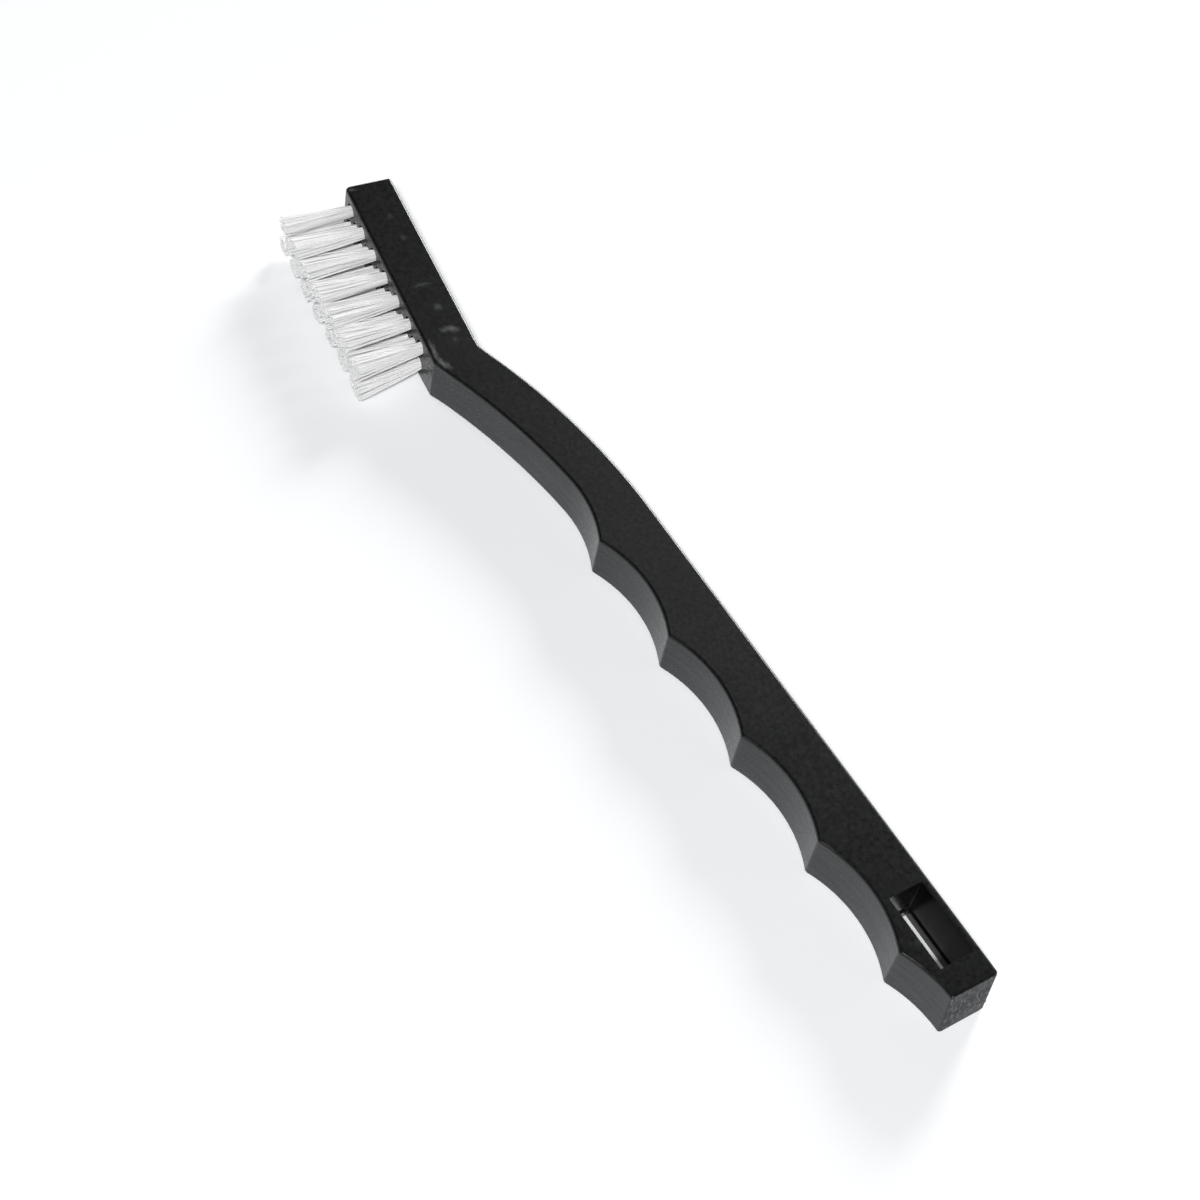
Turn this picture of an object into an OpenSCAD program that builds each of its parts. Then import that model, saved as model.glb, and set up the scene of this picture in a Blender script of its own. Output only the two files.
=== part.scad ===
// Crevice brush lying on its side: a one-piece moulded plastic handle with
// three staggered rows of short nylon tufts, each held in a blind hole by a
// flat metal anchor that bites into the plastic.
//
// The shapes are drawn with x = 0 at the hanging end of the handle, the head
// towards -x, y = 0 on the straight back of the grip, the bristles towards
// -y, and z = 0 on the side that the brush lies on. The finished brush is
// then moved so that its bounding box stands centred over the origin.

/* [Handle] */
// Length of the moulded handle from the front of the head to the hanging end
handle_l = 186; // [175:0.1:195]
// Thickness of the handle at its hanging end
end_w = 10.4; // [9.8:0.1:12]
// Thickness of the neck where it joins the head
neck_w = 8.6; // [8:0.1:9.2]
// Height of the grip from its back to the bottom of a finger scallop
grip_h = 9.2; // [8.5:0.1:10.5]
// Radius of the rounded back corner at the hanging end
end_corner_r = 0.9; // [0.3:0.1:2]

/* [Bent neck] */
// Distance from the hanging end to the start of the bend in the back
neck_start = 99; // [94:0.5:104]
// Radius of the bend along the back
neck_r = 120; // [105:1:135]
// Height of the neck where its underside starts to bend
neck_h = 8.5; // [7.8:0.1:8.9]
// Distance from the hanging end to the start of the bend in the underside
under_start = 96.5; // [92:0.5:99]
// Radius of the bend along the underside
under_r = 122; // [110:1:135]

/* [Finger scallops] */
// Radius of each scallop
scallop_r = 23.85; // [20:0.05:28]
// Distance from one nose between scallops to the next
scallop_pitch = 21.5; // [19:0.1:22]
// Number of noses along the grip
nose_count = 5; // [3:1:5]
// Distance from the hanging end to the nearest nose
nose_end_gap = 10.9; // [7:0.1:12]
// Radius of the rounded tip of a nose
nose_r = 0.8; // [0.4:0.1:1.5]

/* [Hanging hole] */
// Length of the hole on the face that shows
hole_l = 13.4; // [10:0.1:16]
// Height of the hole on the face that shows
hole_h = 6.3; // [5:0.1:6.6]
// Distance from the hanging end to the hole
hole_end_gap = 5.65; // [4:0.05:8]
// Plastic left between the hole and the back of the handle
hole_back_wall = 1.4; // [0.8:0.05:1.7]
// Radius of the corners of the hole
hole_corner_r = 0.6; // [0.3:0.05:1.2]
// Width of the ledge on the walls of the hole where the two core pins met
core_ledge = 0.3; // [0.1:0.05:0.5]
// Depth of the ledge below the face that shows
core_depth = 8.6; // [3:0.1:9]

/* [Head] */
// Length of the back of the head, from the neck to its front
head_l = 42.4; // [41:0.1:48]
// Height of the head from the bristle face to its back
head_h = 9; // [7.8:0.1:9.5]
// Thickness of the head across the three rows of tufts
head_w = 9.6; // [9.3:0.1:10.4]
// Angle between the head and the straight grip
head_tilt = 7.65; // [5:0.05:9]
// Length over which the head thins down into the neck
blend_l = 8; // [4:0.5:12]
// Radius of the front corner at the back of the head
front_back_r = 0.5; // [0.3:0.1:1.5]
// Radius of the front corner at the bristle face
front_face_r = 1; // [0.4:0.1:1.3]
// Radius of the heel, where the bristle face meets the neck
heel_r = 0.8; // [0.5:0.1:3]

/* [Tufts] */
// Number of tufts in each outer row, with one fewer in the middle row
row_tufts = 7; // [5:1:7]
// Distance from one tuft to the next along a row
tuft_pitch = 5.75; // [5.5:0.05:5.9]
// Distance from one row to the next
row_pitch = 2.03; // [1.98:0.01:2.1]
// Distance from the front of the head to the first tuft
first_tuft = 3.65; // [2.6:0.05:3.8]
// Length of bristle that stands out of the head
trim_l = 12.7; // [8:0.1:16]
// Half width of a tuft at its trimmed end, along the row
tip_half_l = 2.3; // [1.6:0.05:2.3]
// Half width of a tuft at its trimmed end, across the rows
tip_half_w = 1.8; // [1.4:0.05:1.8]
// Distance that the outer rows lean outwards over the length of their bristles
row_lean = 0.86; // [0.82:0.01:0.95]
// Number of strands in a tuft
strand_count = 20; // [16:1:24]
// Diameter of a strand
strand_d = 0.26; // [0.2:0.01:0.28]

/* [Tuft holes and anchors] */
// Diameter of a tuft hole
tuft_hole_d = 2.7; // [2.6:0.05:2.8]
// Depth of a tuft hole
tuft_hole_depth = 6.2; // [5.6:0.1:6.6]
// Depth below the bristle face at which the folded root of a tuft ends
root_sink = 0.6; // [0.3:0.1:1.5]
// Gap between the root of a tuft and the wall of its hole
root_gap = 0.02; // [0.01:0.01:0.05]
// Gap between the outer strands and the rim of the hole
rim_gap = 0.22; // [0.18:0.01:0.3]
// Length of an anchor, across the head
anchor_l = 3.1; // [2.9:0.05:3.3]
// Height of an anchor, along its hole
anchor_h = 1.6; // [1.2:0.1:2]
// Thickness of the strip that an anchor is cut from
anchor_t = 0.35; // [0.25:0.05:0.5]
// Gap between an anchor and what it is pressed into
anchor_gap = 0.02; // [0.01:0.01:0.05]
// Thickness of the fold of bristle under an anchor
fold_t = 0.4; // [0.3:0.05:0.8]

/* [Hidden] */
$fn = 48;

// Every shape is symmetric about this height, so the thickest end rests at z = 0.
mid_z = max(end_w, head_w) / 2;
// Allowance by which cutting shapes run past what they cut.
past = 1;

// The head is a block turned by head_tilt. Its directions in the drawing plane
// run along the head towards its front, and out of the bristle face.
to_front = [-cos(head_tilt), sin(head_tilt)];
out_face = [-sin(head_tilt), -cos(head_tilt)];
// The rounded front corner is what sets the overall length, so the point where
// the head's back meets the neck follows from it.
head_x = -handle_l + head_l * cos(head_tilt) + head_h * sin(head_tilt)
    - front_face_r * (cos(head_tilt) + sin(head_tilt) - 1);
neck_c = [-neck_start, -neck_r];
head_y = neck_c.y + sqrt(pow(neck_r, 2) - pow(head_x - neck_c.x, 2));

// Point of the head at s from the neck along its back and d below its back.
function head_pt(s, d) = [head_x, head_y] + s * to_front + d * out_face;
function unit(v) = v / norm(v);

// The underside of the neck bends about this centre. The heel is rounded by a
// circle that touches both the bristle face and the underside.
under_c = [-under_start, -neck_h - under_r];
heel_from = head_pt(0, head_h - heel_r) - under_c;
heel_b = -(heel_from * to_front);
heel_k = -heel_b - sqrt(pow(heel_b, 2) - heel_from * heel_from + pow(under_r + heel_r, 2));
heel_c = head_pt(-heel_k, head_h - heel_r);

// Centres of the scallops, counted from the hanging end. The last one runs
// smoothly into the underside of the neck, so its depth follows from that.
function scallop_x(i) = -nose_end_gap - (i - 0.5) * scallop_pitch;
function scallop_c(i) = i < nose_count
    ? [scallop_x(i), -grip_h - scallop_r]
    : [scallop_x(i), under_c.y + sqrt(pow(under_r - scallop_r, 2) - pow(scallop_x(i) - under_c.x, 2))];
// Where the last scallop touches the underside of the neck.
under_end = under_c.x + (scallop_x(nose_count) - under_c.x) * under_r / (under_r - scallop_r);

// Centre of the circle that rounds the nose between scallops i and i + 1.
function nose_c(i) =
    let (
        a = scallop_c(i + 1),
        b = scallop_c(i),
        half = norm(b - a) / 2,
        up = unit([a.y - b.y, b.x - a.x])
    )
    (a + b) / 2 + up * sqrt(pow(scallop_r + nose_r, 2) - pow(half, 2));

// Half the thickness of the handle at a distance x along it.
blend_from = head_x - blend_l / 2;
blend_to = head_x + blend_l / 2;
function half_w(x) =
    let (
        grip = neck_w / 2 + (end_w - neck_w) / 2 * (x - blend_to) / -blend_to,
        q = (x - blend_from) / blend_l
    )
    x >= blend_to ? grip
    : x <= blend_from ? head_w / 2
    : head_w / 2 + (neck_w - head_w) / 2 * (1 - cos(180 * q)) / 2;

// Distance of tuft i of a row from the neck, with side 1 for the row near the
// face that shows, 0 for the middle row and -1 for the far row.
function tuft_s(i, side) = head_l - first_tuft - (i - (side == 0 ? 0.5 : 1)) * tuft_pitch;
function row_z(side) = mid_z + side * row_pitch;

// Strands are spread over a disc in a sunflower pattern, here of radius 1.
golden = 180 * (3 - sqrt(5));
function spread(k) = sqrt((k + 0.5) / strand_count) * [cos(k * golden), sin(k * golden)];
root_r = tuft_hole_d / 2 - rim_gap - strand_d / 2;
// A strand starts inside the folded root, this far below the bristle face.
strand_sink = root_sink + 0.3;
function strand_root(k) = root_r * spread(k);
function strand_tip(k, side) = [
    (tip_half_l - strand_d / 2) * spread(k).x,
    (tip_half_w - strand_d / 2) * spread(k).y + side * row_lean
];

// The bristle tips of the first and the last tuft of an outer row are the ends
// of the bounding box in x and in y.
ring = [for (a = [0 : 120 : 240]) strand_d / 2 * [cos(a), sin(a)]];
function tips(i) = [
    for (side = [-1, 1], k = [0 : strand_count - 1], p = ring)
        head_pt(tuft_s(i, side) - strand_tip(k, side).x - p.x, head_h + trim_l)
];
low_x = min([for (p = tips(1)) p.x]);
low_y = min([for (p = tips(row_tufts)) p.y]);

// Moves the finished shapes so that the bounding box is centred over the origin.
module placed() {
    translate([-min(low_x, -handle_l) / 2, -low_y / 2, 0])
        children();
}

// Cuts a convex corner back to a circle at c that touches both of its sides in
// the directions a and b.
module round_corner(c, a, b, r) {
    difference() {
        polygon([c, c + r * a, c + 2 * r * unit(a + b), c + r * b]);
        translate(c)
            circle(r = r);
    }
}

// Rectangle with rounded corners, from the origin.
module rounded_rect(l, h, r) {
    translate([r, 0])
        square([l - 2 * r, h]);
    translate([0, r])
        square([l, h - 2 * r]);
    for (x = [r, l - r], y = [r, h - r])
        translate([x, y])
            circle(r = r);
}

// Straight grip and bent neck before the underside is cut.
module grip_blank() {
    blank_h = grip_h + scallop_r / 4;
    translate([-neck_start, -blank_h])
        square([neck_start, blank_h]);
    intersection() {
        translate(neck_c)
            circle(r = neck_r);
        translate([head_x, -blank_h - scallop_r])
            square([past - neck_start - head_x, blank_h + scallop_r]);
    }
}

// Side view of the handle, with square front and end.
module side_blank() {
    difference() {
        union() {
            grip_blank();
            // The head, run on into the neck.
            translate(head_pt(-head_h / 2, 0))
                rotate(180 - head_tilt)
                    square([head_l + head_h / 2, head_h]);
        }
        // Everything below the bristle face.
        translate(head_pt(head_l + past, head_h))
            rotate(-head_tilt)
                translate([0, -handle_l / 2])
                    square([handle_l + 2 * past, handle_l / 2]);
        // The bend under the neck.
        intersection() {
            translate(under_c)
                circle(r = under_r);
            translate([head_x - past, -under_r])
                square([under_end - head_x + past, under_r]);
        }
        for (i = [0 : nose_count])
            translate(scallop_c(i))
                circle(r = scallop_r);
    }
}

// Side view of the handle with its corners rounded.
module side_view() {
    difference() {
        side_blank();
        for (i = [0 : nose_count - 1])
            round_corner(nose_c(i), unit(scallop_c(i) - nose_c(i)), unit(scallop_c(i + 1) - nose_c(i)), nose_r);
        round_corner(heel_c, out_face, unit(under_c - heel_c), heel_r);
        round_corner(head_pt(head_l - front_face_r, head_h - front_face_r), to_front, out_face, front_face_r);
        round_corner(head_pt(head_l - front_back_r, front_back_r), to_front, -out_face, front_back_r);
        round_corner([-end_corner_r, -end_corner_r], [1, 0], [0, 1], end_corner_r);
    }
}

// The handle as seen on its back: a wide head, a thinner neck and a grip that
// thickens towards the hanging end.
module thickness_view() {
    steps = 12;
    xs = concat(
        [-handle_l - past],
        [for (i = [0 : steps]) blend_from + blend_l * i / steps],
        [past]
    );
    polygon(concat(
        [for (x = xs) [x, mid_z + half_w(x)]],
        [for (i = [len(xs) - 1 : -1 : 0]) [xs[i], mid_z - half_w(xs[i])]]
    ));
}

// Hole through the hanging end, with a ledge where the two core pins met.
module hanging_hole() {
    translate([-hole_end_gap - hole_l, -hole_back_wall - hole_h, 0]) {
        translate([0, 0, 2 * mid_z - core_depth])
            linear_extrude(height = core_depth + past)
                rounded_rect(hole_l, hole_h, hole_corner_r);
        translate([core_ledge, core_ledge, -past])
            linear_extrude(height = 2 * mid_z)
                rounded_rect(hole_l - 2 * core_ledge, hole_h - 2 * core_ledge, hole_corner_r);
    }
}

// Puts a shape at tuft i of a row: z runs out of the bristle face from 0 on its
// surface, x runs along the row and y across the rows.
module at_tuft(i, side) {
    translate(concat(head_pt(tuft_s(i, side), head_h), [row_z(side)]))
        rotate([90, 0, -head_tilt])
            children();
}

// Strip of the size of an anchor, resting on the fold of bristle under it.
module anchor_shape(gap) {
    translate([-anchor_t / 2 - gap, -anchor_l / 2 - gap, fold_t - tuft_hole_depth])
        cube([anchor_t + 2 * gap, anchor_l + 2 * gap, anchor_h + gap]);
}

// Blind hole of one tuft, with the slit that its anchor cut into the plastic.
module tuft_hole(i, side) {
    at_tuft(i, side) {
        translate([0, 0, -tuft_hole_depth])
            cylinder(d = tuft_hole_d, h = tuft_hole_depth + past);
        anchor_shape(anchor_gap);
    }
}

// One strand: a three-sided rod that leans outwards from its root to its tip.
module strand(k, side) {
    root = strand_root(k);
    tip = strand_tip(k, side);
    polyhedron(
        points = concat(
            [for (p = ring) [root.x + p.x, root.y + p.y, -strand_sink]],
            [for (p = ring) [tip.x + p.x, tip.y + p.y, trim_l]]
        ),
        faces = [[0, 1, 2], [5, 4, 3], [0, 3, 4], [0, 4, 1], [1, 4, 5], [1, 5, 2], [2, 5, 3], [2, 3, 0]]
    );
}

// One tuft: its strands stand on the folded root that the anchor holds down.
module tuft(i, side) {
    color("#f4f4f1")
        placed()
            at_tuft(i, side) {
                difference() {
                    translate([0, 0, -tuft_hole_depth])
                        cylinder(d = tuft_hole_d - 2 * root_gap, h = tuft_hole_depth - root_sink);
                    anchor_shape(anchor_gap);
                }
                for (k = [0 : strand_count - 1])
                    strand(k, side);
            }
}

// Flat metal anchor that holds one tuft.
module anchor(i, side) {
    color("#c9c4b4")
        placed()
            at_tuft(i, side)
                anchor_shape(0);
}

// Moulded handle with its hanging hole and its tuft holes.
module handle() {
    color("#232427")
        placed()
            difference() {
                intersection() {
                    linear_extrude(height = 2 * mid_z)
                        side_view();
                    translate([0, past, 0])
                        rotate([90, 0, 0])
                            linear_extrude(height = handle_l / 2)
                                thickness_view();
                }
                hanging_hole();
                for (i = [1 : row_tufts]) {
                    tuft_hole(i, 1);
                    tuft_hole(i, -1);
                }
                for (i = [1 : row_tufts - 1])
                    tuft_hole(i, 0);
            }
}

handle();
for (i = [1 : row_tufts]) {
    tuft(i, 1);
    tuft(i, -1);
    anchor(i, 1);
    anchor(i, -1);
}
for (i = [1 : row_tufts - 1]) {
    tuft(i, 0);
    anchor(i, 0);
}
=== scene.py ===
"""Crevice brush: a moulded black plastic handle with three rows of nylon tufts."""

import math

import bmesh
import bpy
from mathutils import Matrix, Vector, noise


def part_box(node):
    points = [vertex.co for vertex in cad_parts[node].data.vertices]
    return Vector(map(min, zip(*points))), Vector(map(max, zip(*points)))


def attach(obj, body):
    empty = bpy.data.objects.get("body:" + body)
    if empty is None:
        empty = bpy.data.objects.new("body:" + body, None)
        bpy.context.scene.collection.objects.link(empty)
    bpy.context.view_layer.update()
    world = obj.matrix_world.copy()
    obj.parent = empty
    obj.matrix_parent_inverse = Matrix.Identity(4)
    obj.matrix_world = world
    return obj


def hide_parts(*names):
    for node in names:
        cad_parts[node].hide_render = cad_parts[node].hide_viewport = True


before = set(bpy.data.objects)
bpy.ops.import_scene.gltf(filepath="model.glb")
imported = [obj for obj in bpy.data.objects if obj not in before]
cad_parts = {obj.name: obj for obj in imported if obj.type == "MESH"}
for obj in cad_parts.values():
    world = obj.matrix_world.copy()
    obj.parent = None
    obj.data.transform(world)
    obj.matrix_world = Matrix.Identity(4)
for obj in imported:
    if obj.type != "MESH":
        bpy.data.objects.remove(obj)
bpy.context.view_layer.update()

bl_info = {
    "name": "Crevice brush",
    "version": (1, 0, 0),
    "blender": (4, 5, 0),
    "location": "View3D > Sidebar > Brush",
    "description": "Builds a crevice brush with a scalloped handle and stapled nylon tufts",
    "category": "Object",
}

MM = 0.001


# ---------------------------------------------------------------- settings


class HandleSettings(bpy.types.PropertyGroup):
    """Sizes of the moulded handle, which follow the solid that it stands for"""

    length: bpy.props.FloatProperty(
        name="Length",
        description="From the front of the head to the hanging end, in mm",
        default=186.0,
        min=150,
    )
    end_w: bpy.props.FloatProperty(
        name="End thickness", description="Thickness at the hanging end, in mm", default=10.4
    )
    neck_w: bpy.props.FloatProperty(
        name="Neck thickness", description="Thickness where the neck meets the head, in mm", default=8.6
    )
    grip_h: bpy.props.FloatProperty(
        name="Grip height", description="Height at the bottom of a scallop, in mm", default=9.2
    )
    neck_start: bpy.props.FloatProperty(
        name="Bend start",
        description="From the hanging end to the bend in the back, in mm",
        default=99.0,
    )
    neck_r: bpy.props.FloatProperty(
        name="Back bend radius", description="Radius of the bend along the back, in mm", default=120.0
    )
    neck_h: bpy.props.FloatProperty(
        name="Neck height", description="Height where the underside starts to bend, in mm", default=8.5
    )
    under_start: bpy.props.FloatProperty(
        name="Underside bend start", description="From the hanging end, in mm", default=96.5
    )
    under_r: bpy.props.FloatProperty(
        name="Underside bend radius",
        description="Radius of the bend along the underside, in mm",
        default=122.0,
    )
    scallop_r: bpy.props.FloatProperty(
        name="Scallop radius", description="Radius of each finger scallop, in mm", default=23.85
    )
    scallop_pitch: bpy.props.FloatProperty(
        name="Scallop pitch", description="From one nose to the next, in mm", default=21.5
    )
    nose_count: bpy.props.IntProperty(
        name="Noses", description="Number of noses along the grip", default=5, min=1
    )
    nose_end_gap: bpy.props.FloatProperty(
        name="First nose", description="From the hanging end to the nearest nose, in mm", default=10.9
    )
    nose_r: bpy.props.FloatProperty(
        name="Nose radius", description="Radius of the rounded tip of a nose, in mm", default=0.8
    )
    head_l: bpy.props.FloatProperty(
        name="Head length", description="Length of the back of the head, in mm", default=42.4
    )
    head_h: bpy.props.FloatProperty(
        name="Head height", description="From the bristle face to the back, in mm", default=9.0
    )
    head_w: bpy.props.FloatProperty(
        name="Head thickness", description="Across the three rows of tufts, in mm", default=9.6
    )
    head_tilt: bpy.props.FloatProperty(
        name="Head tilt",
        description="Angle between the head and the grip",
        default=math.radians(7.65),
        subtype="ANGLE",
    )
    blend_l: bpy.props.FloatProperty(
        name="Blend length",
        description="Length over which the head thins into the neck, in mm",
        default=8.0,
    )
    front_back_r: bpy.props.FloatProperty(
        name="Front back radius", description="Front corner at the back of the head, in mm", default=0.5
    )
    front_face_r: bpy.props.FloatProperty(
        name="Front face radius", description="Front corner at the bristle face, in mm", default=1.0
    )
    heel_r: bpy.props.FloatProperty(
        name="Heel radius", description="Where the bristle face meets the neck, in mm", default=0.8
    )
    end_corner_r: bpy.props.FloatProperty(
        name="End corner radius", description="Back corner at the hanging end, in mm", default=0.9
    )
    edge_r: bpy.props.FloatProperty(
        name="Edge radius", description="Rounding of the long edges, in mm", default=0.58, min=0.05
    )
    end_edge_r: bpy.props.FloatProperty(
        name="End edge radius",
        description="Rounding of the edges round the hanging end, in mm",
        default=0.4,
        min=0.02,
    )
    end_lean: bpy.props.FloatProperty(
        name="End lean",
        description="How much further the hanging end reaches at the side it lies on, in mm",
        default=0.85,
        min=0.1,
    )
    hole_l: bpy.props.FloatProperty(
        name="Hole length", description="Length of the hanging hole, in mm", default=13.4
    )
    hole_h: bpy.props.FloatProperty(
        name="Hole height", description="Height of the hanging hole, in mm", default=6.3
    )
    hole_end_gap: bpy.props.FloatProperty(
        name="Hole place", description="From the hanging end to the hole, in mm", default=5.65
    )
    hole_back_wall: bpy.props.FloatProperty(
        name="Wall behind the hole", description="Plastic left behind the hole, in mm", default=1.4
    )
    hole_corner_r: bpy.props.FloatProperty(
        name="Hole corner radius", description="Corners of the hole, in mm", default=0.12
    )
    core_ledge: bpy.props.FloatProperty(
        name="Ledge", description="Width of the ledge in the hole, in mm", default=0.3
    )
    core_depth: bpy.props.FloatProperty(
        name="Ledge depth", description="Depth of the ledge, in mm", default=8.6
    )
    hole_mouth_r: bpy.props.FloatProperty(
        name="Hole mouth radius",
        description="Rounding of the mouth of the hanging hole, in mm",
        default=0.08,
    )
    plastic: bpy.props.StringProperty(
        name="Plastic colour", description="sRGB hex colour of the black plastic", default="#0d0e0f"
    )


class BristleSettings(bpy.types.PropertyGroup):
    """Sizes of the tufts, their holes and their filaments"""

    row_tufts: bpy.props.IntProperty(
        name="Tufts in an outer row", description="The middle row has one fewer", default=7, min=2
    )
    tuft_pitch: bpy.props.FloatProperty(
        name="Tuft pitch", description="From one tuft to the next, in mm", default=5.75
    )
    row_pitch: bpy.props.FloatProperty(
        name="Row pitch", description="From one row to the next, in mm", default=2.03
    )
    first_tuft: bpy.props.FloatProperty(
        name="First tuft", description="From the front of the head, in mm", default=3.65
    )
    hole_d: bpy.props.FloatProperty(
        name="Tuft hole", description="Diameter of a tuft hole, in mm", default=2.7
    )
    hole_depth: bpy.props.FloatProperty(
        name="Hole depth", description="Depth of a tuft hole, in mm", default=6.2
    )
    trim_l: bpy.props.FloatProperty(
        name="Trim", description="Length of bristle out of the head, in mm", default=12.7
    )
    filaments: bpy.props.IntProperty(
        name="Filaments in a tuft", description="Number of filament ends in one tuft", default=62, min=8
    )
    filament_d: bpy.props.FloatProperty(
        name="Filament diameter", description="Diameter of one filament, in mm", default=0.35
    )
    filament_points: bpy.props.IntProperty(
        name="Points", description="Number of points along one filament", default=6, min=2
    )
    root_depth: bpy.props.FloatProperty(
        name="Root depth", description="How deep a filament starts in its hole, in mm", default=1.2
    )
    root_r: bpy.props.FloatProperty(
        name="Root radius", description="Radius of a tuft where it leaves its hole, in mm", default=0.88
    )
    tip_half_l: bpy.props.FloatProperty(
        name="Tip half length",
        description="Half width of a tuft's end along the row, in mm",
        default=2.25,
    )
    tip_half_w: bpy.props.FloatProperty(
        name="Tip half width",
        description="Half width of a tuft's end across the rows, in mm",
        default=1.8,
    )
    near_lean: bpy.props.FloatProperty(
        name="Near row lean", description="How far the near row leans outwards, in mm", default=0.2
    )
    far_lean: bpy.props.FloatProperty(
        name="Far row lean", description="How far the far row leans outwards, in mm", default=0.6
    )
    neck_lean: bpy.props.FloatProperty(
        name="Lean to the neck",
        description="How far the tufts lean towards the neck, in mm",
        default=0.75,
    )
    seed: bpy.props.IntProperty(name="Seed", description="Changes which filaments stray", default=4)
    nylon: bpy.props.StringProperty(
        name="Nylon colour", description="sRGB hex colour of the filaments", default="#f9f9f9"
    )
    metal: bpy.props.StringProperty(
        name="Anchor colour", description="sRGB hex colour of the anchors", default="#c9c4b4"
    )


class StudioSettings(bpy.types.PropertyGroup):
    """Floor, light and camera"""

    lens: bpy.props.FloatProperty(
        name="Lens", description="Focal length of the camera, in mm on a 36 mm frame", default=70.888
    )
    place: bpy.props.FloatVectorProperty(
        name="Camera place",
        description="In metres",
        default=(0.175592, -0.158674, 0.318068),
        subtype="TRANSLATION",
    )
    right: bpy.props.FloatVectorProperty(
        name="Camera right",
        description="Direction to the right of the picture",
        default=(0.521539, 0.841873, 0.138731),
    )
    up: bpy.props.FloatVectorProperty(
        name="Camera up",
        description="Direction to the top of the picture",
        default=(-0.731413, 0.357404, 0.580773),
    )
    key: bpy.props.FloatProperty(
        name="Key light",
        description="Power of the low light behind the back",
        default=19.0,
        unit="POWER",
    )
    front: bpy.props.FloatProperty(
        name="Front light",
        description="Power of the soft light behind the camera",
        default=20.0,
        unit="POWER",
    )
    fill: bpy.props.FloatProperty(
        name="Ambient", description="Strength of the room's light overhead", default=0.06
    )
    sheen: bpy.props.FloatProperty(
        name="Sheen",
        description="Power of the faint light that the side of the handle mirrors",
        default=0.16,
        unit="POWER",
    )
    floor: bpy.props.StringProperty(
        name="Floor colour", description="sRGB hex colour of the floor", default="#f2f4f6"
    )


# ---------------------------------------------------------------- helpers


def linear(hex_colour):
    """Linear RGBA of an sRGB hex colour."""
    parts = [int(hex_colour[i : i + 2], 16) / 255 for i in (1, 3, 5)]
    return tuple(c / 12.92 if c <= 0.04045 else ((c + 0.055) / 1.055) ** 2.4 for c in parts) + (1.0,)


def add(tree, kind, links=(), **settings):
    """Adds a node, sets what it has, and feeds its inputs with values or sockets."""
    node = tree.nodes.new(kind)
    for name, value in settings.items():
        setattr(node, name, value)
    for key, value in dict(links).items():
        if isinstance(value, bpy.types.NodeSocket):
            tree.links.new(value, node.inputs[key])
        else:
            node.inputs[key].default_value = value
    return node


def new_material(name):
    """Material without nodes."""
    material = bpy.data.materials.new(name)
    material.use_nodes = True
    material.node_tree.nodes.clear()
    return material


def dress(piece, *materials):
    """Gives a piece these materials and no others."""
    piece.data.materials.clear()
    for material in materials:
        piece.data.materials.append(material)


def object_from(name, points, faces):
    """Object with a mesh of these faces, from points in mm."""
    mesh = bpy.data.meshes.new(name)
    mesh.from_pydata([tuple(c * MM for c in p) for p in points], [], faces)
    mesh.update()
    piece = bpy.data.objects.new(name, mesh)
    bpy.context.scene.collection.objects.link(piece)
    return piece


def as_plain_mesh(piece):
    """Applies the modifiers of a piece and takes them off."""
    depsgraph = bpy.context.evaluated_depsgraph_get()
    mesh = bpy.data.meshes.new_from_object(piece.evaluated_get(depsgraph), depsgraph=depsgraph)
    mesh.name = piece.name
    piece.modifiers.clear()
    piece.data = mesh


def moved(shape_data, at):
    """Points and faces of a shape, moved to where the handle stands."""
    points, faces = shape_data
    return [(x + at.x, y + at.y, z + at.z) for x, y, z in points], faces


def outward(mesh):
    """Turns every face of a closed mesh outwards."""
    work = bmesh.new()
    work.from_mesh(mesh)
    bmesh.ops.remove_doubles(work, verts=work.verts, dist=1e-7)
    bmesh.ops.recalc_face_normals(work, faces=work.faces)
    work.to_mesh(mesh)
    work.free()


# ---------------------------------------------------------------- shape of the handle


# Length at the hanging end over which it leans, in mm.
LEAN_L = 5


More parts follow.
